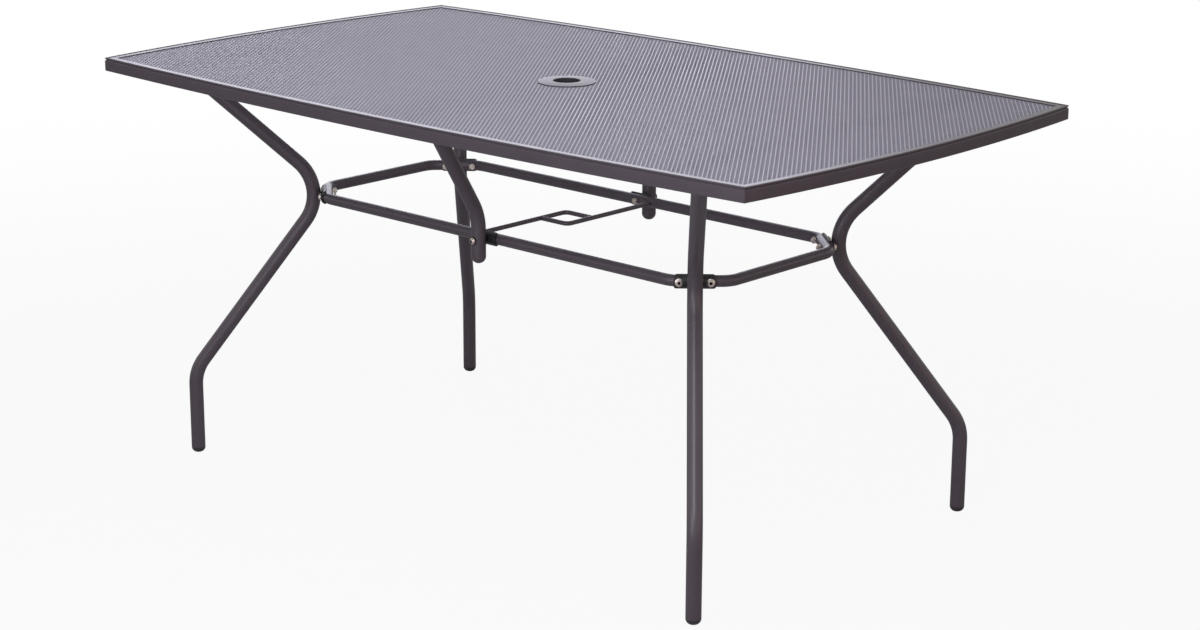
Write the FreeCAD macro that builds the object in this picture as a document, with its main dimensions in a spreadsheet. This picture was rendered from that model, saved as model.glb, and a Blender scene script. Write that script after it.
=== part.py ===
import FreeCAD, Part
import math
import os
import re

import Sketcher
from FreeCAD import Placement, Rotation, Vector

# Outdoor dining table with an expanded steel top and a hole for an umbrella pole.
# Millimetres.  +X runs along the long side to the right, -Y faces the sitter at the front,
# +Z is up.  The origin lies on the floor under the centre of the table top.

SIZES = [
    # table top
    ("corner_span_x", "1472"),
    ("corner_span_y", "828"),
    ("side_bow", "26"),
    ("table_height", "720"),
    ("apron_height", "24"),
    # roll-formed rim
    ("rim_gauge", "1.6"),
    ("rim_flange", "16"),
    ("rim_lip", "11"),
    ("bead_width", "3.6"),
    ("bead_rise", "1.2"),
    ("bead_drop", "2.4"),
    ("groove_depth", "1.5"),
    ("groove_width", "2.1"),
    # mesh sheet and the bars that carry it
    ("mesh_gauge", "1.5"),
    ("mesh_columns", "12"),
    ("mesh_rows", "5"),
    ("mesh_share", "0.8"),
    ("mesh_margin", "8"),
    ("fit_gap", "0.3"),
    ("bar_width", "20"),
    ("bar_height", "15"),
    ("bar_wall", "1.5"),
    ("centre_bar_x", "38"),
    # umbrella opening
    ("pole_bore", "46"),
    ("sleeve_wall", "2"),
    ("sleeve_length", "32"),
    ("ring_flange_d", "100"),
    ("ring_edge", "1.5"),
    ("ring_plate_side", "96"),
    ("ring_plate_gauge", "2.5"),
    ("retainer_d", "64"),
    ("retainer_height", "7"),
    # corner legs
    ("leg_d", "25"),
    ("tube_wall", "1.5"),
    ("leg_turn", "48.2"),
    ("knee_x", "450"),
    ("knee_y", "183"),
    ("knee_bend", "80"),
    ("lower_slope", "53.4"),
    ("upper_slope", "42.3"),
    ("foot_reach", "221"),
    ("ankle_bend", "80"),
    ("foot_dome", "10"),
    ("plug_depth", "14"),
    # short legs in the middle of the long sides
    ("half_leg_slope", "31.5"),
    ("half_leg_bend", "90"),
    ("half_leg_corner_z", "521"),
    ("half_leg_end_z", "439"),
    # stretcher ring and the saddle brackets that wrap its outer side
    ("stretcher_z", "479"),
    ("stretcher_d", "19"),
    ("ring_past_knee_x", "25"),
    ("ring_past_knee_y", "6"),
    ("stretcher_bend", "34"),
    ("bracket_length", "67"),
    ("bracket_gauge", "2.7"),
    ("bracket_wrap", "75"),
    ("bracket_round", "6"),
    ("bracket_bolt_gap", "50"),
    ("half_bracket_length", "50"),
    # pole guide rods
    ("rod_d", "8"),
    ("guide_half", "31.4"),
    ("rod_bend", "10"),
    # plates on top of the legs
    ("leg_plate_length", "90"),
    ("leg_plate_width", "38"),
    ("leg_plate_gauge", "3"),
    ("leg_screw_gap", "66"),
    ("half_plate_length", "96"),
    ("half_plate_width", "56"),
    ("half_screw_gap", "36"),
    # metric fasteners
    ("bolt_d", "6"),
    ("bolt_hole_d", "6.6"),
    ("head_d", "13.5"),
    ("small_head_d", "11"),
    ("head_height", "3.8"),
    ("head_flange", "1"),
    ("socket_flats", "5"),
    ("socket_depth", "3.2"),
    ("nut_flats", "10"),
    ("nut_height", "5"),
    ("thread_tail", "2"),
    ("screw_length", "10"),
    ("washer_d", "14"),
    ("washer_gauge", "1.4"),
    ("seat_gap", "0.2"),
    # levels and lengths that follow from the sizes above
    ("flange_top", "=table_height - bead_rise"),
    ("mesh_top", "=flange_top - rim_gauge"),
    ("mesh_low", "=mesh_top - mesh_gauge"),
    ("bar_low", "=mesh_low - bar_height"),
    ("leg_top", "=bar_low - leg_plate_gauge"),
    ("wall_depth", "=groove_depth + rim_gauge"),
    ("half_span_x", "=corner_span_x / 2"),
    ("half_span_y", "=corner_span_y / 2"),
    ("long_radius", "=(half_span_x ^ 2 + side_bow ^ 2) / (2 * side_bow)"),
    ("short_radius", "=(half_span_y ^ 2 + side_bow ^ 2) / (2 * side_bow)"),
    ("long_slope", "=asin(half_span_x / long_radius) / 1 deg"),
    ("short_slope", "=asin(half_span_y / short_radius) / 1 deg"),
    ("long_centre", "=long_radius - side_bow - half_span_y"),
    ("short_centre", "=short_radius - side_bow - half_span_x"),
    ("sleeve_d", "=pole_bore + 2 * sleeve_wall"),
    ("mesh_clear_x", "=half_span_x - rim_flange - mesh_margin"),
    ("mesh_clear_y", "=half_span_y - rim_flange - mesh_margin"),
    ("mesh_pitch_x", "=2 * mesh_clear_x / (mesh_columns - 1 + mesh_share)"),
    ("mesh_pitch_y", "=2 * mesh_clear_y / (mesh_rows - 1 + mesh_share)"),
    ("stretcher_half_x", "=knee_x + ring_past_knee_x"),
    ("stretcher_half_y", "=knee_y + ring_past_knee_y"),
    ("knee_spread", "=knee_bend / sin(lower_slope + upper_slope)"),
    ("knee_corner_x", "=knee_bend - knee_spread * (cos(upper_slope) + cos(lower_slope))"),
    ("knee_corner_z", "=stretcher_z + knee_spread * (sin(lower_slope) - sin(upper_slope))"),
    ("ankle_z", "=knee_corner_z - (foot_reach - knee_corner_x) * tan(lower_slope)"),
    ("leg_top_reach", "=knee_corner_x + (leg_top - knee_corner_z) / tan(upper_slope)"),
    ("leg_top_x", "=knee_x + leg_top_reach * cos(leg_turn)"),
    ("leg_top_y", "=knee_y + leg_top_reach * sin(leg_turn)"),
    ("saddle_bore", "=stretcher_d / 2 + fit_gap"),
    ("saddle_outer", "=saddle_bore + bracket_gauge"),
    ("chamfer_set", "=leg_d / 2 + saddle_outer"),
    ("chamfer_x", "=knee_x - chamfer_set * cos(leg_turn)"),
    ("chamfer_y", "=knee_y - chamfer_set * sin(leg_turn)"),
    ("side_corner_y", "=chamfer_y - (stretcher_half_x - chamfer_x) / tan(leg_turn)"),
    ("front_corner_x", "=chamfer_x - (stretcher_half_y - chamfer_y) * tan(leg_turn)"),
    ("chamfer_reach", "=(stretcher_half_y - chamfer_y) / cos(leg_turn)"),
    ("chamfer_flat", "=chamfer_reach - stretcher_bend * tan(45 - leg_turn / 2)"),
    ("nut_overhang", "=max(0; bracket_bolt_gap / 2 + nut_flats / 2 - chamfer_flat)"),
    ("nut_rise", "=seat_gap + nut_overhang ^ 2 / (2 * stretcher_bend)"),
    ("half_leg_y", "=stretcher_half_y + chamfer_set"),
    ("half_leg_top_y", "=half_leg_y + (leg_top - half_leg_corner_z) * tan(half_leg_slope)"),
    ("nut_set", "=chamfer_set + stretcher_d / 2 + nut_height"),
    ("bracket_bolt_length", "=nut_set + nut_rise + thread_tail + seat_gap - leg_d / 2"),
    ("half_bolt_length", "=nut_set + 2 * seat_gap + thread_tail + washer_gauge + leg_d / 2"),
]

doc = FreeCAD.newDocument("umbrella_table")
sheet = doc.addObject("Spreadsheet::Sheet", "Sizes")
ALIASES = {name for name, formula in SIZES}
for row, (name, formula) in enumerate(SIZES, 1):
    sheet.set(f"A{row}", name)
    sheet.set(f"B{row}", formula)
    sheet.setAlias(f"B{row}", name)
doc.recompute()

PARTS = {}


def linked(formula):
    """Point every size named in a formula at the spreadsheet."""
    def full_name(word):
        return "Sizes." * (word.group() in ALIASES) + word.group()

    return re.sub(r"[a-z]\w*", full_name, str(formula))


def value(formula):
    """Present number of a formula."""
    found = sheet.evalExpression(linked(formula))
    return float(getattr(found, "Value", found))


def bind(item, path, formula):
    item.setExpression(path, linked(formula))


def place(item, across="0", along="0", height="0", turn="0", axis=Vector(0, 0, 1)):
    """Set an item at a point and turn it about one axis."""
    item.Placement = Placement(Vector(), Rotation(axis, 30))
    bind(item, ".Placement.Base.x", across)
    bind(item, ".Placement.Base.y", along)
    bind(item, ".Placement.Base.z", height)
    bind(item, ".Placement.Rotation.Angle", turn)
    return item


def new_body(label):
    body = doc.addObject("PartDesign::Body", label)
    body.Label = label
    return body


def keep(item, label):
    """Hand an item over as a finished piece."""
    item.Label = label
    PARTS[label] = item
    return item


def origin_part(body, role):
    return next(part for part in body.Origin.OriginFeatures if part.Role == role)


def new_sketch(body, plane, label, offset="0", turn="0", shift="0"):
    """Sketch on an origin plane of a body, moved along its normal and sideways, turned about its upright."""
    sketch = body.newObject("Sketcher::SketchObject", label)
    sketch.AttachmentSupport = [(origin_part(body, plane + "_Plane"), "")]
    sketch.MapMode = "FlatFace"
    sketch.AttachmentOffset = Placement(Vector(), Rotation(Vector(0, 1, 0), 30))
    bind(sketch, ".AttachmentOffset.Base.x", shift)
    bind(sketch, ".AttachmentOffset.Base.z", offset)
    bind(sketch, ".AttachmentOffset.Rotation.Angle", turn)
    return sketch


def fix_point(sketch, geometry, position, across, upward):
    """Hold a sketch point at two formulas."""
    for kind, formula in (("DistanceX", across), ("DistanceY", upward)):
        index = sketch.addConstraint(Sketcher.Constraint(kind, -1, 1, geometry, position, value(formula)))
        bind(sketch, f"Constraints[{index}]", formula)


def fix_radius(sketch, geometry, formula):
    index = sketch.addConstraint(Sketcher.Constraint("Radius", geometry, value(formula)))
    bind(sketch, f"Constraints[{index}]", formula)


def circle(sketch, across, upward, radius):
    shape = Part.Circle(Vector(value(across), value(upward), 0), Vector(0, 0, 1), value(radius))
    geometry = sketch.addGeometry(shape, False)
    fix_point(sketch, geometry, 3, across, upward)
    fix_radius(sketch, geometry, radius)


def bend_points(before, corner, after, radius):
    """Tangent points and centre of an arc that rounds a corner."""
    inward = (before - corner).normalize()
    outward = (after - corner).normalize()
    half_angle = inward.getAngle(outward) / 2
    reach = radius / math.tan(half_angle)
    middle = (inward + outward).normalize() * (radius / math.sin(half_angle))
    return corner + inward * reach, corner + outward * reach, corner + middle


def chain(sketch, corners, closed=True):
    """Join corners by straight runs; a corner with a third formula is rounded to that radius."""
    spots = [Vector(value(corner[0]), value(corner[1]), 0) for corner in corners]
    count = len(spots)
    entries = list(spots)
    exits = list(spots)
    arcs = {}
    for index, corner in enumerate(corners):
        if len(corner) < 3:
            continue
        before, after = spots[index - 1], spots[(index + 1) % count]
        radius = value(corner[2])
        entries[index], exits[index], middle = bend_points(before, spots[index], after, radius)
        left_turn = (spots[index] - before).cross(after - spots[index]).z > 0
        first, last = (entries[index], exits[index]) if left_turn else (exits[index], entries[index])
        start = math.atan2(first.y - middle.y, first.x - middle.x)
        stop = math.atan2(last.y - middle.y, last.x - middle.x)
        stop += 2 * math.pi * (stop < start)
        shape = Part.ArcOfCircle(Part.Circle(middle, Vector(0, 0, 1), radius), start, stop)
        arcs[index] = (sketch.addGeometry(shape, False), left_turn)
    runs = {}
    for index in range(count if closed else count - 1):
        after = (index + 1) % count
        runs[index] = sketch.addGeometry(Part.LineSegment(exits[index], entries[after]), False)
    for index, corner in enumerate(corners):
        before = runs.get((index - 1) % count) if closed or index else None
        after = runs.get(index)
        if index in arcs:
            arc, left_turn = arcs[index]
            sketch.addConstraint(Sketcher.Constraint("Tangent", before, 2, arc, 1 if left_turn else 2))
            sketch.addConstraint(Sketcher.Constraint("Tangent", after, 1, arc, 2 if left_turn else 1))
            fix_radius(sketch, arc, corner[2])
            mark = sketch.addGeometry(Part.Point(spots[index]), True)
            sketch.addConstraint(Sketcher.Constraint("PointOnObject", mark, 1, before))
            sketch.addConstraint(Sketcher.Constraint("PointOnObject", mark, 1, after))
            fix_point(sketch, mark, 1, corner[0], corner[1])
            continue
        if before is not None and after is not None:
            sketch.addConstraint(Sketcher.Constraint("Coincident", before, 2, after, 1))
        if after is not None:
            fix_point(sketch, after, 1, corner[0], corner[1])
        else:
            fix_point(sketch, before, 2, corner[0], corner[1])


def rectangle(sketch, left, right, low, high, *rounding):
    corners = [(left, low), (right, low), (right, high), (left, high)]
    chain(sketch, [corner + rounding for corner in corners])


def hexagon(sketch, flats):
    corner = f"({flats}) / sqrt(3)"
    chain(sketch, [(f"{corner} * cos({60 * side})", f"{corner} * sin({60 * side})") for side in range(6)])


def pad(body, sketch, length, midplane=False):
    feature = body.newObject("PartDesign::Pad", sketch.Label + "_pad")
    feature.Profile = sketch
    feature.SideType = "Symmetric" if midplane else "One side"
    bind(feature, "Length", length)
    return feature


def pocket(body, sketch, depth=None, reverse=False):
    """Cut a sketch to a depth, or right through on both sides."""
    feature = body.newObject("PartDesign::Pocket", sketch.Label + "_pocket")
    feature.Profile = sketch
    feature.Reversed = reverse
    if depth is None:
        feature.Type = "ThroughAll"
        feature.SideType = "Symmetric"
    else:
        bind(feature, "Length", depth)
    return feature


def revolve(body, sketch, angle="360"):
    """Turn a sketch about the upright axis of its body."""
    feature = body.newObject("PartDesign::Revolution", sketch.Label + "_turned")
    feature.Profile = sketch
    feature.ReferenceAxis = (origin_part(body, "Z_Axis"), [""])
    feature.Midplane = True
    bind(feature, "Angle", angle)
    return feature


def sweep(body, profile, path, kind="Additive"):
    """Carry a profile along a path, adding to the body or cutting from it."""
    feature = body.newObject(f"PartDesign::{kind}Pipe", profile.Label + "_swept")
    feature.Profile = profile
    feature.Spine = path
    return feature


def pattern(body, feature, runs):
    """Repeat a feature along origin axes: axis, number and spacing of each run."""
    spread = body.newObject("PartDesign::MultiTransform", feature.Label + "_pattern")
    spread.Originals = [feature]
    lines = []
    for axis, count, pitch in runs:
        line = body.newObject("PartDesign::LinearPattern", f"{feature.Label}_{axis}")
        line.Direction = (origin_part(body, axis + "_Axis"), [""])
        bind(line, "Occurrences", count)
        bind(line, "Length", f"({count} - 1) * {pitch}")
        lines.append(line)
    spread.Transformations = lines
    body.Tip = spread
    return spread


def turned_part(label, corners):
    """Round piece from its half section: radius and height of each corner."""
    body = new_body(label)
    section = new_sketch(body, "XZ", label + "_section")
    chain(section, corners)
    revolve(body, section)
    return body


def gather(label, items):
    """Several items as one group of solids."""
    group = doc.addObject("Part::Compound", label)
    group.Label = label
    group.Links = items
    return group


# The four corners of the table, seen from above: side along X, side along Y, turn of the leg.
CORNERS = {
    "front_left": (-1, -1, "180 + leg_turn"),
    "front_right": (1, -1, "-leg_turn"),
    "back_left": (-1, 1, "180 - leg_turn"),
    "back_right": (1, 1, "leg_turn"),
}
MIDDLES = {"front": (-1, "-90"), "back": (1, "90")}


def at_corner(item, corner, height="0"):
    """Place an item drawn at a knee, its X axis pointing out along the leg."""
    side_x, side_y, turn = CORNERS[corner]
    return place(item, f"{side_x} * knee_x", f"{side_y} * knee_y", height, turn)


def at_middle(item, middle, height="0"):
    """Place an item drawn at a short leg, its X axis pointing out of the table."""
    side_y, turn = MIDDLES[middle]
    return place(item, "0", f"{side_y} * half_leg_y", height, turn)


def eased(corner, before, after, radius):
    """Two flats in place of a square corner, as the rollers leave it."""
    short = f"0.3 * {radius}"
    across, upward = corner
    return [
        (f"{across} + {before[0]} * {radius}", f"{upward} + {before[1]} * {radius}"),
        (f"{across} + {before[0] + after[0]} * {short}", f"{upward} + {before[1] + after[1]} * {short}"),
        (f"{across} + {after[0]} * {radius}", f"{upward} + {after[1]} * {radius}"),
    ]


def rim_section(sketch, radius):
    """Roll-formed rim: bottom lip, face, sloped shoulder, groove, rolled bead and flange for the mesh."""
    low = "table_height - apron_height"
    shoulder = "table_height - bead_drop - groove_width"
    face = "groove_depth / 6"
    up, down, inward, outward = (0, 1), (0, -1), (1, 0), (-1, 0)
    corners = [
        *eased(("0", low), up, inward, "rim_gauge"),
        ("rim_lip", low),
        ("rim_lip", f"{low} + rim_gauge"),
        ("rim_gauge", f"{low} + rim_gauge"),
        ("rim_gauge", f"{shoulder} - groove_depth - rim_gauge * 0.4"),
        ("wall_depth", f"{shoulder} - rim_gauge * 0.4"),
        ("wall_depth", "mesh_top"),
        ("rim_flange", "mesh_top"),
        ("rim_flange", "flange_top"),
        ("bead_width", "flange_top"),
        *eased(("bead_width", "table_height"), down, outward, "bead_rise * 0.8"),
        *eased((face, "table_height"), inward, down, "bead_width * 0.4"),
        *eased((face, "table_height - bead_drop"), up, inward, "bead_drop * 0.25"),
        ("groove_depth", "table_height - bead_drop"),
        ("groove_depth", shoulder),
        ("0", f"{shoulder} - groove_depth"),
    ]
    chain(sketch, [(f"{across} - {radius}", upward) for across, upward in corners])


def rim_rail(label, radius, half_span, own_slope, next_slope):
    """Bowed rail of the rim, drawn about the centre of its bow, with both ends mitred."""
    body = new_body(label)
    section = new_sketch(body, "YZ", label + "_section")
    rim_section(section, radius)
    revolve(body, section, f"2 * {own_slope} + 360 * rim_gauge / (pi * {radius})")
    mitre = new_sketch(body, "XY", label + "_mitre")
    lean = f"(45 + ({next_slope} - {own_slope}) / 2)"
    for side in (1, -1):
        outer_x = f"{side} * ({half_span} + rim_flange * cos{lean})"
        inner_x = f"{side} * ({half_span} - 2 * rim_flange * cos{lean})"
        outer_y = f"side_bow - {radius} - rim_flange * sin{lean}"
        inner_y = f"side_bow - {radius} + 2 * rim_flange * sin{lean}"
        chain(mitre, [(outer_x, outer_y), (outer_x, inner_y), (inner_x, inner_y)])
    pocket(body, mitre)
    return body


long_rail = ("long_radius", "half_span_x", "long_slope", "short_slope")
short_rail = ("short_radius", "half_span_y", "short_slope", "long_slope")
keep(place(rim_rail("front_rim_rail", *long_rail), "0", "long_centre"), "front_rim_rail")
keep(place(rim_rail("back_rim_rail", *long_rail), "0", "-long_centre", "0", "180"), "back_rim_rail")
keep(place(rim_rail("right_rim_rail", *short_rail), "-short_centre", "0", "0", "90"), "right_rim_rail")
keep(place(rim_rail("left_rim_rail", *short_rail), "short_centre", "0", "0", "-90"), "left_rim_rail")


def bowed_run(sketch, start, stop, centre, radius):
    """Arc between two points about a centre, its ends free for the next run to meet."""
    hub = Vector(value(centre[0]), value(centre[1]), 0)
    first = Vector(*start, 0) - hub
    last = Vector(*stop, 0) - hub
    begin = math.atan2(first.y, first.x)
    end = math.atan2(last.y, last.x)
    end += 2 * math.pi * (end < begin)
    shape = Part.ArcOfCircle(Part.Circle(hub, Vector(0, 0, 1), value(radius)), begin, end)
    geometry = sketch.addGeometry(shape, False)
    fix_point(sketch, geometry, 3, *centre)
    fix_radius(sketch, geometry, radius)
    return geometry


def diamond_field(body, label, columns, rows):
    """Rows of diamond openings, evenly spaced about the middle of the sheet."""
    sketch = new_sketch(body, "XY", label, "mesh_top")
    middle_x = f"-({columns} - 1) / 2 * mesh_pitch_x"
    middle_y = f"-({rows} - 1) / 2 * mesh_pitch_y"
    half_x, half_y = "mesh_pitch_x * mesh_share / 2", "mesh_pitch_y * mesh_share / 2"
    corners = [
        (f"{middle_x} + {half_x}", middle_y),
        (middle_x, f"{middle_y} + {half_y}"),
        (f"{middle_x} - {half_x}", middle_y),
        (middle_x, f"{middle_y} - {half_y}"),
    ]
    chain(sketch, corners)
    opening = pocket(body, sketch, "mesh_gauge")
    pattern(body, opening, [("X", columns, "mesh_pitch_x"), ("Y", rows, "mesh_pitch_y")])


def mesh_panel():
    """Sheet inside the rim, open in two staggered fields, with a land round the umbrella hole."""
    body = new_body("mesh_panel")
    outline = new_sketch(body, "XY", "mesh_outline", "mesh_low")
    inset = "(wall_depth + fit_gap)"
    across = value(f"half_span_x - {inset}")
    along = value(f"half_span_y - {inset}")
    spots = [(-across, -along), (across, -along), (across, along), (-across, along)]
    hubs = [("0", "long_centre"), ("-short_centre", "0"), ("0", "-long_centre"), ("short_centre", "0")]
    radii = ["long_radius", "short_radius"] * 2
    arcs = []
    for side in range(4):
        start, stop = spots[side], spots[(side + 1) % 4]
        arcs.append(bowed_run(outline, start, stop, hubs[side], f"{radii[side]} - {inset}"))
    for side in range(4):
        meeting = Sketcher.Constraint("Coincident", arcs[side], 2, arcs[(side + 1) % 4], 1)
        outline.addConstraint(meeting)
    pad(body, outline, "mesh_gauge")
    diamond_field(body, "whole_rows", "mesh_columns", "mesh_rows")
    diamond_field(body, "between_rows", "(mesh_columns - 1)", "(mesh_rows - 1)")
    land = new_sketch(body, "XY", "ring_land", "mesh_low")
    circle(land, "0", "0", "ring_flange_d / 2 + mesh_margin")
    pad(body, land, "mesh_gauge")
    hole = new_sketch(body, "XY", "umbrella_hole")
    circle(hole, "0", "0", "sleeve_d / 2 + fit_gap")
    pocket(body, hole)
    return body


keep(mesh_panel(), "mesh_panel")


def cross_bar(label, middle, screw_rows):
    """Rectangular tube under the mesh, its ends shaped to the bowed rails."""
    body = new_body(label)
    outline = new_sketch(body, "XY", label + "_outline", "bar_low")
    inset = "(wall_depth + fit_gap)"
    left = value(f"{middle} - bar_width / 2")
    right = value(f"{middle} + bar_width / 2")
    reach = value(f"half_span_y + side_bow - {inset}")
    bow = f"long_radius - {inset}"
    front = bowed_run(outline, (left, -reach), (right, -reach), ("0", "long_centre"), bow)
    back = bowed_run(outline, (right, reach), (left, reach), ("0", "-long_centre"), bow)
    for first, last, edge, side in ((front, back, "+", right), (back, front, "-", left)):
        level = reach if first == back else -reach
        run = outline.addGeometry(Part.LineSegment(Vector(side, level, 0), Vector(side, -level, 0)), False)
        outline.addConstraint(Sketcher.Constraint("Coincident", first, 2, run, 1))
        outline.addConstraint(Sketcher.Constraint("Coincident", run, 2, last, 1))
        outline.addConstraint(Sketcher.Constraint("Vertical", run))
        edge_x = f"{middle} {edge} bar_width / 2"
        index = outline.addConstraint(Sketcher.Constraint("DistanceX", -1, 1, run, 1, value(edge_x)))
        bind(outline, f"Constraints[{index}]", edge_x)
    pad(body, outline, "bar_height")
    bore = new_sketch(body, "XZ", label + "_bore")
    low, high = "bar_low + bar_wall", "mesh_low - bar_wall"
    half = "(bar_width / 2 - bar_wall)"
    rectangle(bore, f"{middle} - {half}", f"{middle} + {half}", low, high)
    pocket(body, bore)
    holes = new_sketch(body, "XY", label + "_screw_holes", "bar_low + bar_wall")
    for row in screw_rows:
        for side in ("", "-"):
            circle(holes, middle, f"{side}({row})", "bolt_d / 2 + fit_gap / 2")
    pocket(body, holes, "2 * bar_wall")
    return body


end_rows = ["leg_top_y - leg_screw_gap / 2", "leg_top_y + leg_screw_gap / 2"]
centre_rows = ["centre_bar_x", "half_leg_top_y - half_screw_gap / 2", "half_leg_top_y + half_screw_gap / 2"]
keep(cross_bar("left_end_bar", "-leg_top_x", end_rows), "left_end_bar")
keep(cross_bar("right_end_bar", "leg_top_x", end_rows), "right_end_bar")
keep(cross_bar("left_centre_bar", "-centre_bar_x", centre_rows), "left_centre_bar")
keep(cross_bar("right_centre_bar", "centre_bar_x", centre_rows), "right_centre_bar")

# Umbrella ring: a spun flange that rests on the mesh, with a sleeve down through it.
keep(
    turned_part(
        "umbrella_ring",
        [
            ("pole_bore / 2", "table_height - sleeve_length"),
            ("sleeve_d / 2", "table_height - sleeve_length"),
            ("sleeve_d / 2", "mesh_top"),
            ("ring_flange_d / 2", "mesh_top"),
            ("ring_flange_d / 2", "mesh_top + ring_edge", "ring_edge / 2"),
            ("sleeve_d * 0.7", "table_height", "ring_flange_d / 2"),
            ("pole_bore / 2", "table_height", "sleeve_wall * 0.7"),
        ],
    ),
    "umbrella_ring",
)


def flat_plate(label, low, gauge, length, width, rounding, screws, centre_hole=None):
    """Horizontal plate with rounded corners and clearance holes."""
    body = new_body(label)
    outline = new_sketch(body, "XY", label + "_outline", low)
    half_x, half_y = f"({length}) / 2", f"({width}) / 2"
    rectangle(outline, f"-{half_x}", half_x, f"-{half_y}", half_y, rounding)
    for across, along in screws:
        circle(outline, across, along, "bolt_hole_d / 2")
    if centre_hole:
        circle(outline, "0", "0", centre_hole)
    pad(body, outline, gauge)
    return body


ring_screws = [(x + "centre_bar_x", y + "centre_bar_x") for x in ("", "-") for y in ("", "-")]
ring_low = "bar_low - ring_plate_gauge"
plate_size = ["ring_plate_gauge", "ring_plate_side", "ring_plate_side", "6"]
sleeve_hole = "sleeve_d / 2 + fit_gap"
keep(flat_plate("ring_plate", ring_low, *plate_size, ring_screws, sleeve_hole), "ring_plate")
keep(
    turned_part(
        "ring_retainer",
        [
            ("sleeve_d / 2 + fit_gap / 2", f"{ring_low} - retainer_height"),
            ("retainer_d / 2", f"{ring_low} - retainer_height", "1.5"),
            ("retainer_d / 2", ring_low),
            ("sleeve_d / 2 + fit_gap / 2", ring_low),
        ],
    ),
    "ring_retainer",
)


def tube_ring(sketch, diameter):
    """Outside and inside of a round tube at the sketch origin."""
    circle(sketch, "0", "0", f"{diameter} / 2")
    circle(sketch, "0", "0", f"{diameter} / 2 - tube_wall")


def corner_leg(label):
    """One bent tube: upright foot, run in to the knee, run out to the top, cut level."""
    body = new_body(label)
    path = new_sketch(body, "XZ", label + "_path")
    over = "leg_d"
    corners = [
        ("foot_reach", "foot_dome"),
        ("foot_reach", "ankle_z", "ankle_bend"),
        ("knee_corner_x", "knee_corner_z", "knee_bend"),
        (f"leg_top_reach + {over} / tan(upper_slope)", f"leg_top + {over}"),
    ]
    chain(path, corners, closed=False)
    tube = new_sketch(body, "XY", label + "_tube", "foot_dome")
    circle(tube, "foot_reach", "0", "leg_d / 2")
    circle(tube, "foot_reach", "0", "leg_d / 2 - tube_wall")
    sweep(body, tube, path)
    trim = new_sketch(body, "XZ", label + "_trim")
    inner, outer = "leg_top_reach - 2 * leg_d", "leg_top_reach + 4 * leg_d"
    rectangle(trim, inner, outer, "leg_top", "leg_top + 3 * leg_d")
    pocket(body, trim)
    return body


def domed_plug(label, low, dome):
    """Pressed-in plug that closes the lower end of a tube: a round dome below, a stem inside."""
    join = f"{low} + {dome}"
    inner = "leg_d / 2 - tube_wall - fit_gap / 2"
    return turned_part(
        label,
        [
            ("0", low),
            ("leg_d / 2", low, f"{dome} * 0.95"),
            ("leg_d / 2", join),
            (inner, join),
            (inner, f"{join} + plug_depth"),
            ("0", f"{join} + plug_depth"),
        ],
    )


def arc_about(sketch, across, radius, wrap):
    """Arc that opens to the left about a centre on the X axis, the same angle above and below it."""
    half = math.radians(value(wrap))
    ring = Part.Circle(Vector(value(across), 0, 0), Vector(0, 0, 1), value(radius))
    geometry = sketch.addGeometry(Part.ArcOfCircle(ring, -half, half), False)
    fix_point(sketch, geometry, 3, across, "0")
    fix_radius(sketch, geometry, radius)
    for end, side in ((1, "-"), (2, "")):
        rise = f"{side}{radius} * sin({wrap})"
        index = sketch.addConstraint(Sketcher.Constraint("DistanceY", -1, 1, geometry, end, value(rise)))
        bind(sketch, f"Constraints[{index}]", rise)
    return geometry


def saddle_bracket(label, length, bolts):
    """Part of a tube wall that wraps the outer side of the stretcher, with rounded corners."""
    body = new_body(label)
    section = new_sketch(body, "XZ", label + "_section")
    outer = arc_about(section, "-chamfer_set", "saddle_outer", "bracket_wrap")
    inner = arc_about(section, "-chamfer_set", "saddle_bore", "bracket_wrap")
    for end in (1, 2):
        points = [section.getPoint(arc, end) for arc in (outer, inner)]
        edge = section.addGeometry(Part.LineSegment(*points), False)
        section.addConstraint(Sketcher.Constraint("Coincident", edge, 1, outer, end))
        section.addConstraint(Sketcher.Constraint("Coincident", edge, 2, inner, end))
    pad(body, section, length, midplane=True)
    half, rise = f"{length} / 2", "saddle_outer * sin(bracket_wrap)"
    corners = new_sketch(body, "YZ", label + "_corners")
    rectangle(corners, f"-{half}", half, f"-{rise}", rise, "bracket_round")
    rectangle(corners, f"-{length}", length, "-saddle_outer * 2", "saddle_outer * 2")
    pocket(body, corners)
    holes = new_sketch(body, "YZ", label + "_bolt_holes")
    for bolt in bolts:
        circle(holes, bolt, "0", "bolt_hole_d / 2")
    pocket(body, holes)
    return body


def level_plate(label, length, width, screws):
    """Plate welded on a leg top and screwed under the bars."""
    return flat_plate(label, "leg_top", "leg_plate_gauge", length, width, "6", screws)


leg_screws = [("0", "leg_screw_gap / 2"), ("0", "-leg_screw_gap / 2")]
bracket_bolts = ["bracket_bolt_gap / 2", "-bracket_bolt_gap / 2"]
for corner, (side_x, side_y, turn) in CORNERS.items():
    keep(at_corner(corner_leg(corner + "_leg"), corner), corner + "_leg")
    cap = domed_plug(corner + "_foot_cap", "0", "foot_dome")
    foot_x = f"{side_x} * (knee_x + foot_reach * cos(leg_turn))"
    foot_y = f"{side_y} * (knee_y + foot_reach * sin(leg_turn))"
    keep(place(cap, foot_x, foot_y), corner + "_foot_cap")
    bracket = saddle_bracket(corner + "_bracket", "bracket_length", bracket_bolts)
    keep(at_corner(bracket, corner, "stretcher_z"), corner + "_bracket")
    plate = level_plate(corner + "_top_plate", "leg_plate_width", "leg_plate_length", leg_screws)
    keep(place(plate, f"{side_x} * leg_top_x", f"{side_y} * leg_top_y"), corner + "_top_plate")


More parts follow.
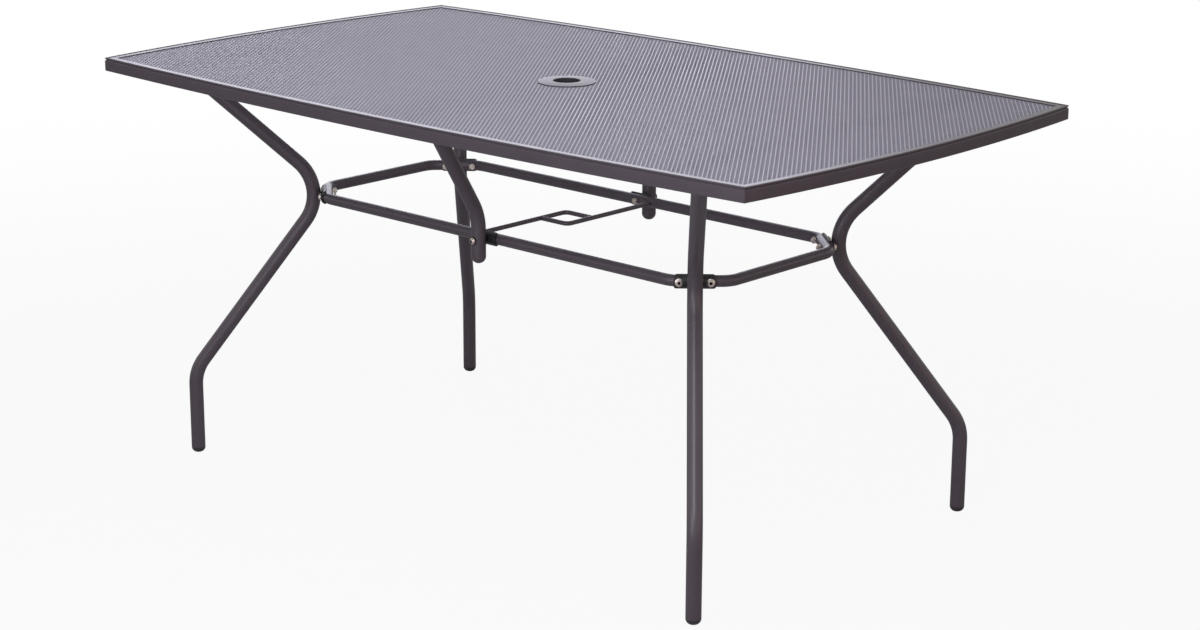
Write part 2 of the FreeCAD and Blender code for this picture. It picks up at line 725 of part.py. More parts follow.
def half_leg(label):
    """Short bent tube from above the stretcher up and out to the bars."""
    body = new_body(label)
    path = new_sketch(body, "XZ", label + "_path")
    over = "leg_d"
    top = f"half_leg_top_y - half_leg_y + {over} * tan(half_leg_slope)"
    corners = [
        ("0", "half_leg_end_z + leg_d / 2"),
        ("0", "half_leg_corner_z", "half_leg_bend"),
        (top, f"leg_top + {over}"),
    ]
    chain(path, corners, closed=False)
    tube = new_sketch(body, "XY", label + "_tube", "half_leg_end_z + leg_d / 2")
    tube_ring(tube, "leg_d")
    sweep(body, tube, path)
    trim = new_sketch(body, "XZ", label + "_trim")
    rectangle(trim, "0", "half_leg_top_y - half_leg_y + 3 * leg_d", "leg_top", "leg_top + 3 * leg_d")
    pocket(body, trim)
    hole = new_sketch(body, "YZ", label + "_bolt_hole")
    circle(hole, "0", "stretcher_z", "bolt_hole_d / 2")
    pocket(body, hole)
    return body


half_screws = [(x + "centre_bar_x", y + "half_screw_gap / 2") for x in ("", "-") for y in ("", "-")]
for middle, (side_y, turn) in MIDDLES.items():
    keep(at_middle(half_leg(middle + "_half_leg"), middle), middle + "_half_leg")
    plug = domed_plug(middle + "_half_leg_plug", "half_leg_end_z", "leg_d / 2")
    keep(at_middle(plug, middle), middle + "_half_leg_plug")
    bracket = saddle_bracket(middle + "_half_leg_bracket", "half_bracket_length", ["0"])
    keep(at_middle(bracket, middle, "stretcher_z"), middle + "_half_leg_bracket")
    plate = level_plate(middle + "_half_leg_top_plate", "half_plate_length", "half_plate_width", half_screws)
    keep(place(plate, "0", f"{side_y} * half_leg_top_y"), middle + "_half_leg_top_plate")


def stretcher_ring():
    """Closed tube ring that ties the six legs, with its corners cut across and drilled for the bolts."""
    body = new_body("stretcher_ring")
    path = new_sketch(body, "XY", "stretcher_path")
    quarter = [("front_corner_x", "stretcher_half_y"), ("stretcher_half_x", "side_corner_y")]
    corners = [("0", "-stretcher_half_y")]
    for side_x, side_y, order in ((1, -1, 1), (1, 1, -1), (-1, 1, 1), (-1, -1, -1)):
        for across, along in quarter[::order]:
            corners.append((f"{side_x} * {across}", f"{side_y} * {along}", "stretcher_bend"))
    chain(path, corners)
    tube = new_sketch(body, "YZ", "stretcher_outside")
    circle(tube, "-stretcher_half_y", "0", "stretcher_d / 2")
    sweep(body, tube, path)
    hollow = new_sketch(body, "YZ", "stretcher_inside")
    circle(hollow, "-stretcher_half_y", "0", "stretcher_d / 2 - tube_wall")
    sweep(body, hollow, path, "Subtractive")
    reach = "(chamfer_set - stretcher_d)"
    for corner, (side_x, side_y, turn) in CORNERS.items():
        drill_x = f"{side_x} * knee_x - {reach} * cos({turn})"
        drill_y = f"{side_y} * knee_y - {reach} * sin({turn})"
        drill = new_sketch(body, "YZ", corner + "_drill", drill_x, turn, drill_y)
        for bolt in bracket_bolts:
            circle(drill, bolt, "0", "bolt_hole_d / 2")
        pocket(body, drill, "2 * stretcher_d")
    drill = new_sketch(body, "XZ", "middle_bolt_holes")
    circle(drill, "0", "0", "bolt_hole_d / 2")
    pocket(body, drill)
    return body


keep(place(stretcher_ring(), "0", "0", "stretcher_z"), "stretcher_ring")


def pole_guide(label):
    """Bent rod from the stretcher past one side of the pole, its ends coped to what they meet."""
    body = new_body(label)
    path = new_sketch(body, "XY", label + "_path")
    corners = [
        ("-guide_half", "-stretcher_half_y"),
        ("-guide_half", "guide_half", "rod_bend"),
        ("guide_half", "guide_half"),
    ]
    chain(path, corners, closed=False)
    rod = new_sketch(body, "XZ", label + "_rod", "stretcher_half_y")
    circle(rod, "-guide_half", "0", "rod_d / 2")
    sweep(body, rod, path)
    cope = new_sketch(body, "YZ", label + "_ring_cope")
    circle(cope, "-stretcher_half_y", "0", "stretcher_d / 2 + fit_gap / 3")
    pocket(body, cope)
    cope = new_sketch(body, "XZ", label + "_rod_cope")
    circle(cope, "guide_half", "0", "rod_d / 2 + fit_gap / 3")
    pocket(body, cope)
    return body


keep(place(pole_guide("front_pole_guide"), "0", "0", "stretcher_z"), "front_pole_guide")
keep(place(pole_guide("back_pole_guide"), "0", "0", "stretcher_z", "180"), "back_pole_guide")


def button_bolt(label, length, head="head_d"):
    """Flanged button head above its seat, shank below, hex socket in the head."""
    body = turned_part(
        label,
        [
            ("0", f"-({length})"),
            ("bolt_d / 2", f"-({length})", "0.6"),
            ("bolt_d / 2", "0"),
            (f"{head} / 2", "0"),
            (f"{head} / 2", "head_flange", "0.3"),
            (f"{head} * 0.4", "head_flange + 0.6"),
            (f"{head} * 0.36", "head_height", "1.6"),
            ("0", "head_height"),
        ],
    )
    socket = new_sketch(body, "XY", label + "_socket", "head_height")
    hexagon(socket, "socket_flats")
    pocket(body, socket, "socket_depth")
    return body


def hex_nut(label):
    body = new_body(label)
    outline = new_sketch(body, "XY", label + "_outline")
    hexagon(outline, "nut_flats")
    circle(outline, "0", "0", "bolt_d / 2 + fit_gap / 2")
    pad(body, outline, "nut_height")
    return body


def outward(item, label, seat, across="0"):
    """Turn an upright fastener to lie along the outward direction at the stretcher height."""
    return place(gather(label, [item]), seat, across, "stretcher_z", "90", Vector(0, 1, 0))


bracket_bolt = button_bolt("bracket_bolt", "bracket_bolt_length")
nut = hex_nut("nut")
bolt_set, nut_set = [], []
for index, across in enumerate(bracket_bolts):
    bolt_set.append(outward(bracket_bolt, f"bolt_of_pair_{index}", "seat_gap - leg_d / 2", across))
    nut_set.append(outward(nut, f"nut_of_pair_{index}", "-(nut_set + nut_rise)", across))
bolt_pair = gather("bolt_pair", bolt_set)
nut_pair = gather("nut_pair", nut_set)
bolts = [at_corner(gather(corner + "_bolts", [bolt_pair]), corner) for corner in CORNERS]
nuts = [at_corner(gather(corner + "_nuts", [nut_pair]), corner) for corner in CORNERS]
keep(gather("bracket_bolts", bolts), "bracket_bolts")

washer_seat = "leg_d / 2 + seat_gap"
half_bolt = button_bolt("half_bolt", "half_bolt_length", "small_head_d")
half_bolt = outward(half_bolt, "half_bolt_set", f"{washer_seat} + washer_gauge")
half_nut = outward(nut, "half_nut_set", "-(nut_set + seat_gap)")
washer = turned_part(
    "washer",
    [
        ("bolt_hole_d / 2", "0"),
        ("washer_d / 2", "0"),
        ("washer_d / 2", "washer_gauge"),
        ("bolt_hole_d / 2", "washer_gauge"),
    ],
)
half_washer = outward(washer, "half_washer_set", washer_seat)
for middle in MIDDLES:
    nuts.append(at_middle(gather(middle + "_nut", [half_nut]), middle))
half_bolts = [at_middle(gather(middle + "_bolt", [half_bolt]), middle) for middle in MIDDLES]
washers = [at_middle(gather(middle + "_washer", [half_washer]), middle) for middle in MIDDLES]
keep(gather("hex_nuts", nuts), "hex_nuts")
keep(gather("half_leg_bolts", half_bolts), "half_leg_bolts")
keep(gather("half_leg_washers", washers), "half_leg_washers")

frame_screw = button_bolt("frame_screw", "screw_length")
under_screw = place(gather("under_screw", [frame_screw]), turn="180", axis=Vector(1, 0, 0))
spots = [(across, along, ring_low) for across, along in ring_screws]
for side_x, side_y, turn in CORNERS.values():
    for row in end_rows:
        spots.append((f"{side_x} * leg_top_x", f"{side_y} * ({row})", "leg_top"))
for side_y, turn in MIDDLES.values():
    for across, along in half_screws:
        spots.append((across, f"{side_y} * half_leg_top_y + {along}", "leg_top"))
screws = []
for index, (across, along, height) in enumerate(spots):
    screws.append(place(gather(f"frame_screw_{index}", [under_screw]), across, along, height))
keep(gather("frame_screws", screws), "frame_screws")

doc.recompute()

for item in doc.Objects:
    if any(word in item.State for word in ("Invalid", "Error")):
        raise RuntimeError(f"{item.Label} did not compute: {item.State}")
for label, item in PARTS.items():
    if item.Shape.isNull() or not item.Shape.isValid():
        raise RuntimeError(f"{label} has no valid shape")

os.makedirs("parts", exist_ok=True)
for label, item in PARTS.items():
    shape = item.Shape
    if len(shape.Solids) > 1:
        shape = Part.Compound(shape.Solids)
    shape.exportStep(f"parts/{label}.step")
    print(f"{label}: {len(shape.Solids)} solid, {shape.Volume:.0f} mm3")
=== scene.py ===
"""A patio umbrella table of powder coated steel: bowed rim, expanded mesh top, legs and stretcher.

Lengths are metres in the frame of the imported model: X runs along the table, Z is up, feet on z = 0.
"""
import math

import bpy
import numpy as np
from mathutils import Matrix, Vector


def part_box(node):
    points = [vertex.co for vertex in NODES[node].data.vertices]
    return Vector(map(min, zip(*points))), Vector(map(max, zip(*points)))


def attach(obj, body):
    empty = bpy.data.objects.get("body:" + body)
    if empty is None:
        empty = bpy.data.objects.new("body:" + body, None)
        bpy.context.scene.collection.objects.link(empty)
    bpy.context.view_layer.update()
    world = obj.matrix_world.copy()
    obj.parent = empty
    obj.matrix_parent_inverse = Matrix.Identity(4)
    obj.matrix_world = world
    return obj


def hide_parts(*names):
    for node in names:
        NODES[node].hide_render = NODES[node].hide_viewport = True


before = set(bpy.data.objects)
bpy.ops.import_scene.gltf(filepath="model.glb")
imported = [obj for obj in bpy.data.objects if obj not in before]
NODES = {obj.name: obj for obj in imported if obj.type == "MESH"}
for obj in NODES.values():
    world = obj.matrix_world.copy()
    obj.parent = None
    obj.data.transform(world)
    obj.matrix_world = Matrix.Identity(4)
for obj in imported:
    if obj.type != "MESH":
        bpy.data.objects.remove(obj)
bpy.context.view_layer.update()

MM = 0.001

# The photographed view: the camera's place in metres, its turns in degrees, its picture in pixels.
PICTURE_WIDTH, PICTURE_HEIGHT = 1200, 630
CAMERA_PLACE = (3.0144, -3.1894, 1.5467)
CAMERA_AZIMUTH = -47.505
CAMERA_ELEVATION = 15.89
CAMERA_ROLL = 0.329
FOCAL_PIXELS = 2612.3
OPTICAL_CENTRE = (605.0, 318.6)
SENSOR_WIDTH = 36.0
CLIP_NEAR, CLIP_FAR = 0.1, 200.0

# The expanded steel sheet, at its real size: diamonds with their long way across the table.
DIAMOND_X = 8.4 * MM
DIAMOND_Y = 11.05 * MM
STRAND_WIDTH = 2.4 * MM
STRAND_GAUGE = 1.4 * MM
STRAND_EASE = 0.7 * MM
SHEET_MARGIN = 6 * MM
SIDE_BOW = 26 * MM
SHEET_PIECES = 6
RING_CLEARANCE = 6 * MM

# The rolled rim, measured inward from its face and down from the top of its bead.
RIM_HEIGHT = 24 * MM
RIM_GAUGE = 1.6 * MM
RIM_FLANGE = 16 * MM
RIM_LIP = 11 * MM
FLANGE_DROP = 1.2 * MM
BEAD_RADIUS = 1.6 * MM
BEAD_SET = 1.8 * MM
BEAD_END = 15
GROOVE_DEPTH = 1.6 * MM
SHOULDER_DROP = 5.0 * MM
SHOULDER_RADIUS = 1.3 * MM
MITRE_SEAM = 0.1 * MM
RIM_STATIONS = 49
SHARP_ANGLE = 40

# The studio. The floor turns to pure white for the camera between two distances from the table.
FLOOR_REACH = 40.0
FLOOR_COLOUR = "#cacaca"
FADE_START, FADE_END = 1.2, 4.0
WHITE_NEAR, WHITE_FAR = 0.92, 1.0
WORLD_LIGHT = 0.31
WORLD_SHEEN = 0.85

# Square lamps: place, the point they face, side in metres, power in watts and colour.
SOFTBOXES = {
    "key_softbox": ((1.3, -2.2, 2.7), (0.2, 0, 0.4), 1.5, 42, "#f4f2ff"),
    "back_softbox": ((-3.0, 2.6, 2.0), (0, 0, 0.7), 2.6, 58, "#eeeeff"),
    "corner_fill": ((0.6, -2.1, 0.8), (0.55, -0.35, 0.3), 0.9, 9, "#f6f0ff"),
    "warm_fill": ((3.5, 0.5, 1.0), (0, 0, 0.4), 1.5, 6, "#ff9a78"),
}

FRAME_COAT_NODES = [
    name
    for name in NODES
    if name.endswith(("_rail", "_leg", "_bar", "_top_plate", "_pole_guide", "_plug"))
] + ["stretcher_ring", "ring_plate"]
BLACK_COAT_NODES = [name for name in NODES if name.endswith("_bracket")]
FOOT_NODES = [name for name in NODES if name.endswith("_cap")]
PLASTIC_NODES = ["ring_retainer", "half_leg_washers"]
ZINC_NODES = ["bracket_bolts", "hex_nuts", "half_leg_bolts", "frame_screws"]


def linear(colour):
    """sRGB hex to linear RGBA.

    A channel c is c / 12.92 up to 0.04045, and ((c + 0.055) / 1.055) to the power 2.4 above it.
    """
    parts = np.array([int(colour[k : k + 2], 16) / 255 for k in (1, 3, 5)])
    light = np.where(parts <= 0.04045, parts / 12.92, ((parts + 0.055) / 1.055) ** 2.4)
    return (*light, 1.0)


def add_node(tree, kind, inputs=None, **settings):
    """A new node with its own settings; each input is a constant or the socket it is linked to."""
    node = tree.nodes.new(kind)
    for name, value in settings.items():
        setattr(node, name, value)
    for name, value in (inputs or {}).items():
        if isinstance(value, bpy.types.NodeSocket):
            tree.links.new(value, node.inputs[name])
        else:
            node.inputs[name].default_value = value
    return node


def new_material(name):
    """An empty node material and its tree, output and Object coordinates."""
    material = bpy.data.materials.new(name)
    material.use_nodes = True
    tree = material.node_tree
    tree.nodes.clear()
    output = add_node(tree, "ShaderNodeOutputMaterial")
    place = add_node(tree, "ShaderNodeTexCoord").outputs["Object"]
    return material, tree, output, place


def powder_coat(
    name, dark, light, roughness, spread=0.04, peel=1.6 * MM, depth=0.05 * MM, cloud=60 * MM
):
    """Polyester powder baked on steel: an even satin skin with faint orange peel.

    The peel is a fine bump, drawn about twice as coarse as the real one so that it shows. Broad
    clouds vary the colour and the gloss a little, as a hand-held spray gun leaves them.
    """
    material, tree, output, place = new_material(name)
    peel_noise = add_node(
        tree, "ShaderNodeTexNoise", {"Vector": place, "Scale": 1 / peel, "Detail": 2.0}
    )
    cloud_noise = add_node(
        tree, "ShaderNodeTexNoise", {"Vector": place, "Scale": 1 / cloud, "Detail": 3.0}
    )
    clouds = cloud_noise.outputs["Fac"]
    colour = add_node(
        tree,
        "ShaderNodeMix",
        {"Factor": clouds, "A": linear(dark), "B": linear(light)},
        data_type="RGBA",
    )
    gloss = add_node(
        tree,
        "ShaderNodeMapRange",
        {"Value": clouds, "To Min": roughness - spread, "To Max": roughness + spread},
    )
    bump = add_node(
        tree,
        "ShaderNodeBump",
        {"Height": peel_noise.outputs["Fac"], "Strength": 0.25, "Distance": depth},
    )
    shader = add_node(
        tree,
        "ShaderNodeBsdfPrincipled",
        {
            "Base Color": colour.outputs["Result"],
            "Roughness": gloss.outputs["Result"],
            "Normal": bump.outputs["Normal"],
            "IOR": 1.5,
        },
    )
    tree.links.new(shader.outputs["BSDF"], output.inputs["Surface"])
    return material


def moulded_plastic(name, dark, light, roughness, grain=0.8 * MM, depth=0.05 * MM):
    """Polypropylene from a spark-eroded mould: a dull skin with a fine even grain."""
    material, tree, output, place = new_material(name)
    grain_noise = add_node(
        tree, "ShaderNodeTexNoise", {"Vector": place, "Scale": 1 / grain, "Detail": 3.0}
    )
    grains = grain_noise.outputs["Fac"]
    colour = add_node(
        tree,
        "ShaderNodeMix",
        {"Factor": grains, "A": linear(dark), "B": linear(light)},
        data_type="RGBA",
    )
    bump = add_node(
        tree, "ShaderNodeBump", {"Height": grains, "Strength": 0.3, "Distance": depth}
    )
    shader = add_node(
        tree,
        "ShaderNodeBsdfPrincipled",
        {
            "Base Color": colour.outputs["Result"],
            "Roughness": roughness,
            "Normal": bump.outputs["Normal"],
            "IOR": 1.49,
        },
    )
    tree.links.new(shader.outputs["BSDF"], output.inputs["Surface"])
    return material


def zinc_plate(
    name, dark, light, socket_shade, crystal=1.2 * MM, reach=4 * MM, shut=0.5, clear=0.85
):
    """Bright zinc on rolled steel: a soft metal gloss, cloudy where the plating has dulled.

    The bottoms of sockets and threads are darkened with painted shade. How shut in a point is tells
    them: the share of rays that meet nothing of the same piece within the reach, painted shade up to
    shut and plain zinc from clear on.
    """
    material, tree, output, place = new_material(name)
    cloud_noise = add_node(
        tree, "ShaderNodeTexNoise", {"Vector": place, "Scale": 1 / crystal, "Detail": 4.0}
    )
    clouds = cloud_noise.outputs["Fac"]
    colour = add_node(
        tree,
        "ShaderNodeMix",
        {"Factor": clouds, "A": linear(dark), "B": linear(light)},
        data_type="RGBA",
    )
    openness = add_node(tree, "ShaderNodeAmbientOcclusion", {"Distance": reach}, only_local=True)
    unshaded = add_node(
        tree,
        "ShaderNodeMapRange",
        {"Value": openness.outputs["AO"], "From Min": shut, "From Max": clear},
    )
    # painted shade: the dark socket colour is mixed in where a point is shut in
    shaded = add_node(
        tree,
        "ShaderNodeMix",
        {"Factor": unshaded.outputs["Result"], "A": linear(socket_shade), "B": colour.outputs["Result"]},
        data_type="RGBA",
    )
    gloss = add_node(
        tree, "ShaderNodeMapRange", {"Value": clouds, "To Min": 0.22, "To Max": 0.42}
    )
    shader = add_node(
        tree,
        "ShaderNodeBsdfPrincipled",
        {
            "Base Color": shaded.outputs["Result"],
            "Roughness": gloss.outputs["Result"],
            "Metallic": 1.0,
        },
    )
    tree.links.new(shader.outputs["BSDF"], output.inputs["Surface"])
    return material


def new_piece(name, points, faces, material):
    """An object whose place is in its mesh, riding on the table's one body."""
    mesh = bpy.data.meshes.new(name)
    mesh.from_pydata(points.tolist(), [], faces)
    mesh.update()
    piece = bpy.data.objects.new(name, mesh)
    bpy.context.scene.collection.objects.link(piece)
    mesh.materials.append(material)
    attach(piece, "root")
    return piece


def expanded_sheet(name, first_x, last_x, material):
    """One stretch of the expanded steel, from first_x to last_x, as closed strands.

    In half diamonds, centres lie at whole (i, j) where i + j is even, and strand crossings where it
    is odd. Round each centre the four crossings are joined to four hole corners, which are the
    crossings drawn in to the centre by the share of the diamond that half a strand takes. The
    powder rounds the strands, so their walls bulge: half way down, the hole is narrower by the ease
    on every side. Where a centre has no neighbour across a side, that side gets an outer wall.
    """
    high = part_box("mesh_panel")[1]
    half = np.array([DIAMOND_X / 2, DIAMOND_Y / 2])
    count = np.ceil(np.array([high.x, high.y]) / half).astype(int)
    ranges = [np.arange(-steps_out, steps_out + 1) for steps_out in count]
    i, j = np.meshgrid(*ranges, indexing="ij")
    x, y = i * half[0], j * half[1]
    reach_x = high.x - SHEET_MARGIN - SIDE_BOW * (y / high.y) ** 2
    reach_y = high.y - SHEET_MARGIN - SIDE_BOW * (x / high.x) ** 2
    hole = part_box("ring_retainer")[1].x + RING_CLEARANCE
    kept = (i + j) % 2 == 0
    kept &= (np.abs(x) < reach_x) & (np.abs(y) < reach_y) & (np.hypot(x, y) > hole)
    kept &= (x >= first_x) & (x < last_x)
    centres = np.stack([i[kept], j[kept]], axis=1)

    steps = np.array([[1, 0], [0, 1], [-1, 0], [0, -1]])
    around = (centres[:, None] + steps).reshape(-1, 2)
    crossings, outer = np.unique(around, axis=0, return_inverse=True)
    outer = outer.reshape(-1, 4)
    to_strand = half[0] * half[1] / np.hypot(*half)
    half_strand = STRAND_WIDTH / 2
    eased_in, drawn_in = 1 - np.array([half_strand - STRAND_EASE, half_strand]) / to_strand
    corners = (centres[:, None] + steps * eased_in).reshape(-1, 2)
    waist = (centres[:, None] + steps * drawn_in).reshape(-1, 2) * half
    flat = np.concatenate([crossings, corners]) * half
    levels = high.z - STRAND_GAUGE * np.repeat([0, 1, 0.5], [len(flat), len(flat), len(waist)])
    points = np.column_stack([np.concatenate([flat, flat, waist]), levels])

    inner = len(crossings) + np.arange(len(corners)).reshape(-1, 4)
    outer_next, inner_next = np.roll(outer, -1, axis=1), np.roll(inner, -1, axis=1)
    below = len(flat)
    middle = 2 * below - len(crossings)
    top = np.stack([outer, outer_next, inner_next, inner], axis=-1).reshape(-1, 4)
    wall = np.stack(
        [inner, inner_next, inner_next + middle, inner + middle], axis=-1
    ).reshape(-1, 4)
    under = np.stack(
        [inner + middle, inner_next + middle, inner_next + below, inner + below], axis=-1
    ).reshape(-1, 4)

    origin = count + 2
    there = np.zeros(2 * origin + 1, bool)
    there[tuple((centres + origin).T)] = True
    across = centres[:, None] + steps + np.roll(steps, -1, axis=0) + origin
    edge = ~there[across[..., 0], across[..., 1]]
    rim = np.stack(
        [outer_next[edge], outer[edge], outer[edge] + below, outer_next[edge] + below], axis=-1
    )
    faces = np.concatenate([top, top[:, ::-1] + below, wall, under, rim])
    sheet = new_piece(name, points, faces.tolist(), material)
    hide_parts("mesh_panel")


def arc(centre, radius, first, last, count=9):
    """Points round a centre, from one angle to another in degrees: centre + radius (cos, sin)."""
    angles = np.radians(np.linspace(first, last, count))
    return np.array(centre) + radius * np.column_stack([np.cos(angles), np.sin(angles)])


def rim_section():
    """Closed section of the rim: face, round shoulder, groove, rolled bead, flange, and the lip."""
    low = -RIM_HEIGHT
    drop = SHOULDER_DROP + SHOULDER_RADIUS
    wall = GROOVE_DEPTH + RIM_GAUGE
    return np.concatenate(
        [
            arc((RIM_GAUGE, low + RIM_GAUGE), RIM_GAUGE, 270, 180),
            arc((SHOULDER_RADIUS, -drop), SHOULDER_RADIUS, 180, 90),
            [(GROOVE_DEPTH, -SHOULDER_DROP), (GROOVE_DEPTH, -2 * BEAD_RADIUS)],
            arc((BEAD_SET, -BEAD_RADIUS), BEAD_RADIUS, 270, BEAD_END, count=19),
            [(RIM_FLANGE, -FLANGE_DROP), (RIM_FLANGE, -FLANGE_DROP - RIM_GAUGE)],
            [(wall, -FLANGE_DROP - RIM_GAUGE), (wall, -drop), (RIM_GAUGE, -drop - wall)],
            [(RIM_GAUGE, low + RIM_GAUGE), (RIM_LIP, low + RIM_GAUGE), (RIM_LIP, low)],
        ]
    )


def bow_radius(half_span):
    """Radius of a bowed side: (half span squared + bow squared) / (2 bow)."""
    return (half_span**2 + SIDE_BOW**2) / (2 * SIDE_BOW)


def rim_rail(name, turn, own, other, material):
    """One bowed rail of the rim, its section swept along an arc between two mitres.

    own and other are the reach and the half span of this rail and of its neighbours. A point set
    inward by a runs round an arc of the side's radius less a, which ends where the neighbour's arc,
    set inward alike, crosses it: the mitre.
    """
    section = rim_section()
    inward = section[:, 0]
    own_radius, other_radius = bow_radius(own[1]), bow_radius(other[1])
    centre, far_centre = own[0] - own_radius, other[0] - other_radius
    radius, far_radius = own_radius - inward, other_radius - inward
    lean = centre / far_centre
    start = (radius**2 - far_radius**2 + far_centre**2 - centre**2) / (2 * far_centre)
    half = centre - start * lean
    outward = half + np.sqrt(half**2 - (1 + lean**2) * (centre**2 + start**2 - radius**2))
    along = start + lean * outward / (1 + lean**2)
    half_angle = np.arcsin(along / radius) - MITRE_SEAM / radius
    angles = half_angle * np.linspace(-1, 1, RIM_STATIONS)[:, None]
    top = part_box(name)[1].z
    flat = np.stack([centre + radius * np.cos(angles), radius * np.sin(angles)], axis=-1)
    turned = flat @ np.array(Matrix.Rotation(math.radians(turn), 2)).T
    levels = np.broadcast_to(top + section[:, 1], angles.shape)
    points = np.concatenate([turned, levels[..., None]], axis=-1).reshape(-1, 3)

    count = len(section)
    first = np.arange(RIM_STATIONS - 1)[:, None] * count
    edge, following = np.arange(count), np.roll(np.arange(count), -1)
    sides = np.stack(
        [first + edge, first + count + edge, first + count + following, first + following], axis=-1
    ).reshape(-1, 4)
    ends = [list(range(count)), list(range(len(points) - 1, len(points) - count - 1, -1))]
    rail = new_piece(name + "_rolled", points, sides.tolist() + ends, material)
    rail.data.shade_smooth()
    rail.data.set_sharp_from_angle(angle=math.radians(SHARP_ANGLE))
    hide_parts(name)


def make_floor():
    """A pale studio floor that fades to white far behind the table and keeps its shadow."""
    material, tree, output, place = new_material("studio_floor")
    rays = add_node(tree, "ShaderNodeLightPath").outputs
    distance = add_node(tree, "ShaderNodeVectorMath", {0: place}, operation="LENGTH")
    far = add_node(
        tree,
        "ShaderNodeMapRange",
        {
            "Value": distance.outputs["Value"],
            "From Min": FADE_START,
            "From Max": FADE_END,
            "To Min": WHITE_NEAR,
            "To Max": WHITE_FAR,
        },
        interpolation_type="SMOOTHSTEP",
    )
    share = add_node(
        tree,
        "ShaderNodeMath",
        {0: rays["Is Camera Ray"], 1: far.outputs["Result"]},
        operation="MULTIPLY",
    )
    paper = add_node(tree, "ShaderNodeBsdfDiffuse", {"Color": linear(FLOOR_COLOUR)})
    white = add_node(tree, "ShaderNodeEmission", {"Color": (1, 1, 1, 1), "Strength": 1.0})
    mixed = add_node(
        tree,
        "ShaderNodeMixShader",
        {"Fac": share.outputs["Value"], 1: paper.outputs["BSDF"], 2: white.outputs["Emission"]},
    )
    tree.links.new(mixed.outputs["Shader"], output.inputs["Surface"])
    size = FLOOR_REACH
    mesh = bpy.data.meshes.new("floor")
    corners = [(-size, -size, 0), (size, -size, 0), (size, size, 0), (-size, size, 0)]
    mesh.from_pydata(corners, [], [(0, 1, 2, 3)])
    floor = bpy.data.objects.new("floor", mesh)
    bpy.context.scene.collection.objects.link(floor)
    mesh.materials.append(material)


def make_world():
    """White to the camera, nearly white in reflections, and a soft even light on all the rest."""
    world = bpy.data.worlds.new("studio")
    bpy.context.scene.world = world
    world.use_nodes = True
    tree = world.node_tree
    tree.nodes.clear()
    rays = add_node(tree, "ShaderNodeLightPath").outputs
    mirrored = add_node(
        tree,
        "ShaderNodeMapRange",
        {"Value": rays["Is Glossy Ray"], "To Min": WORLD_LIGHT, "To Max": WORLD_SHEEN},
    )
    strength = add_node(
        tree,
        "ShaderNodeMath",
        {0: mirrored.outputs["Result"], 1: rays["Is Camera Ray"]},
        operation="MAXIMUM",
    )
    sky = add_node(
        tree, "ShaderNodeBackground", {"Color": (1, 1, 1, 1), "Strength": strength.outputs["Value"]}
    )
    output = add_node(tree, "ShaderNodeOutputWorld")
    tree.links.new(sky.outputs["Background"], output.inputs["Surface"])


def softbox(name, place, target, size, power, colour):
    """A square area lamp at place that faces target."""
    lamp = bpy.data.lights.new(name, "AREA")
    lamp.shape = "SQUARE"
    lamp.size = size
    lamp.energy = power
    lamp.color = linear(colour)[:3]
    box = bpy.data.objects.new(name, lamp)
    bpy.context.scene.collection.objects.link(box)
    box.location = place
    box.rotation_mode = "QUATERNION"
    box.rotation_quaternion = (Vector(place) - Vector(target)).to_track_quat("Z", "Y")


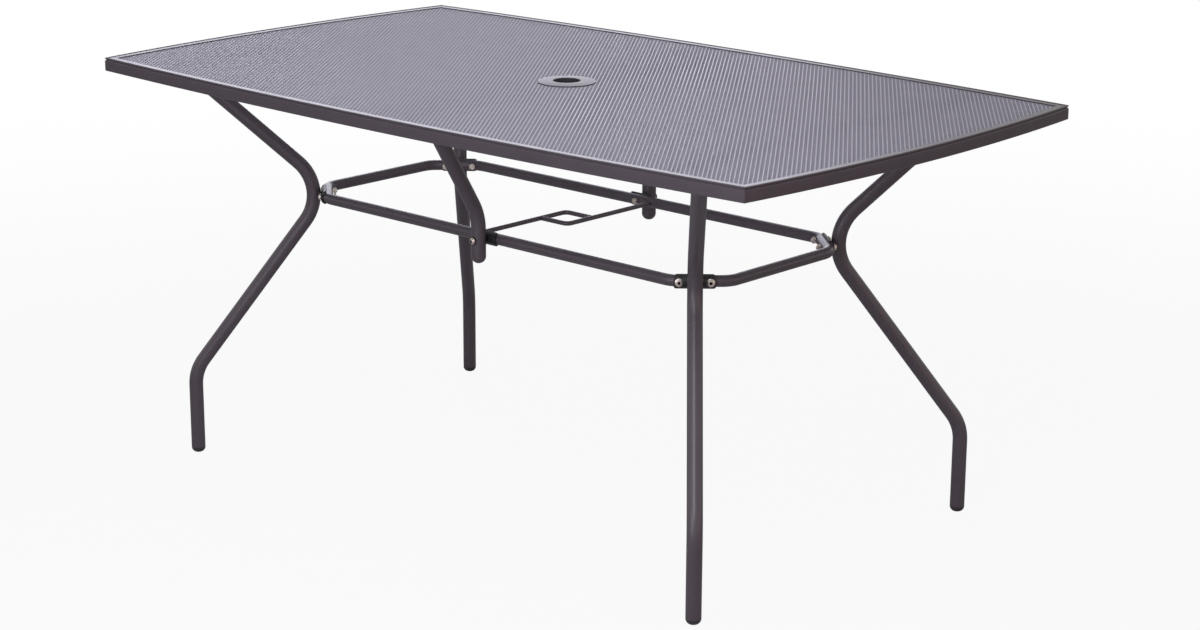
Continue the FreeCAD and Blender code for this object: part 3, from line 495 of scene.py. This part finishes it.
def make_camera():
    """The photographed view: turned about Z, tipped to its elevation, rolled about its own axis."""
    lens = bpy.data.cameras.new("camera")
    lens.sensor_width = SENSOR_WIDTH
    lens.lens = FOCAL_PIXELS / PICTURE_WIDTH * SENSOR_WIDTH
    lens.shift_x = ((PICTURE_WIDTH - 1) / 2 - OPTICAL_CENTRE[0]) / PICTURE_WIDTH
    lens.shift_y = (OPTICAL_CENTRE[1] - (PICTURE_HEIGHT - 1) / 2) / PICTURE_WIDTH
    lens.clip_start, lens.clip_end = CLIP_NEAR, CLIP_FAR
    camera = bpy.data.objects.new("camera", lens)
    bpy.context.scene.collection.objects.link(camera)
    turn = Matrix.Rotation(math.radians(CAMERA_AZIMUTH + 90), 4, "Z")
    tip = Matrix.Rotation(math.radians(90 - CAMERA_ELEVATION), 4, "X")
    roll = Matrix.Rotation(math.radians(CAMERA_ROLL), 4, "Z")
    camera.matrix_world = Matrix.Translation(CAMERA_PLACE) @ turn @ tip @ roll
    bpy.context.scene.camera = camera


# The mesh has the frame's paint, but is drawn lighter as a painted sheen, for the sky its thin
# strands catch.
frame_coat = powder_coat("charcoal_powder_coat", "#484046", "#50484e", roughness=0.38)
mesh_coat_with_painted_sheen = powder_coat("charcoal_powder_coat_with_painted_sheen", "#8a8893", "#94929d", roughness=0.45)
# The ring has the frame's paint, duller, and drawn darker as painted shade, most of all along its
# flange's edge.
ring_coat_with_painted_shade = powder_coat("dull_charcoal_powder_coat_with_painted_shade", "#302c31", "#383439", roughness=0.47)
black_coat = powder_coat("black_powder_coat", "#1d1c1e", "#242325", roughness=0.42)
foot_plastic = moulded_plastic("charcoal_moulded_plastic", "#302d30", "#38353a", roughness=0.45)
plastic = moulded_plastic("black_moulded_plastic", "#18181a", "#202022", roughness=0.5)
# The last colour, #151415, is painted shade for the bottoms of sockets and threads.
zinc = zinc_plate("bright_zinc_plate", "#c6bab0", "#e0d6cd", "#151415")

for names, finish in (
    (FRAME_COAT_NODES, frame_coat),
    (["umbrella_ring"], ring_coat_with_painted_shade),
    (BLACK_COAT_NODES, black_coat),
    (FOOT_NODES, foot_plastic),
    (PLASTIC_NODES, plastic),
    (ZINC_NODES, zinc),
):
    for name in names:
        NODES[name].data.materials.clear()
        NODES[name].data.materials.append(finish)

half_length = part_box("mesh_panel")[1].x
edges = np.linspace(-half_length, half_length, SHEET_PIECES + 1)
for number in range(SHEET_PIECES):
    expanded_sheet(f"mesh_sheet_{number + 1}", edges[number], edges[number + 1], mesh_coat_with_painted_sheen)

# Each side's reach from the centre to its face, and half the span between its two corners.
long_side = (-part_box("front_rim_rail")[0].y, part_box("right_rim_rail")[1].x - SIDE_BOW)
short_side = (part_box("right_rim_rail")[1].x, -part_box("front_rim_rail")[0].y - SIDE_BOW)
rim_rail("right_rim_rail", 0, short_side, long_side, frame_coat)
rim_rail("back_rim_rail", 90, long_side, short_side, frame_coat)
rim_rail("left_rim_rail", 180, short_side, long_side, frame_coat)
rim_rail("front_rim_rail", -90, long_side, short_side, frame_coat)

make_floor()
make_world()
make_camera()
for name, settings in SOFTBOXES.items():
    softbox(name, *settings)

bpy.context.scene.view_settings.view_transform = "Standard"
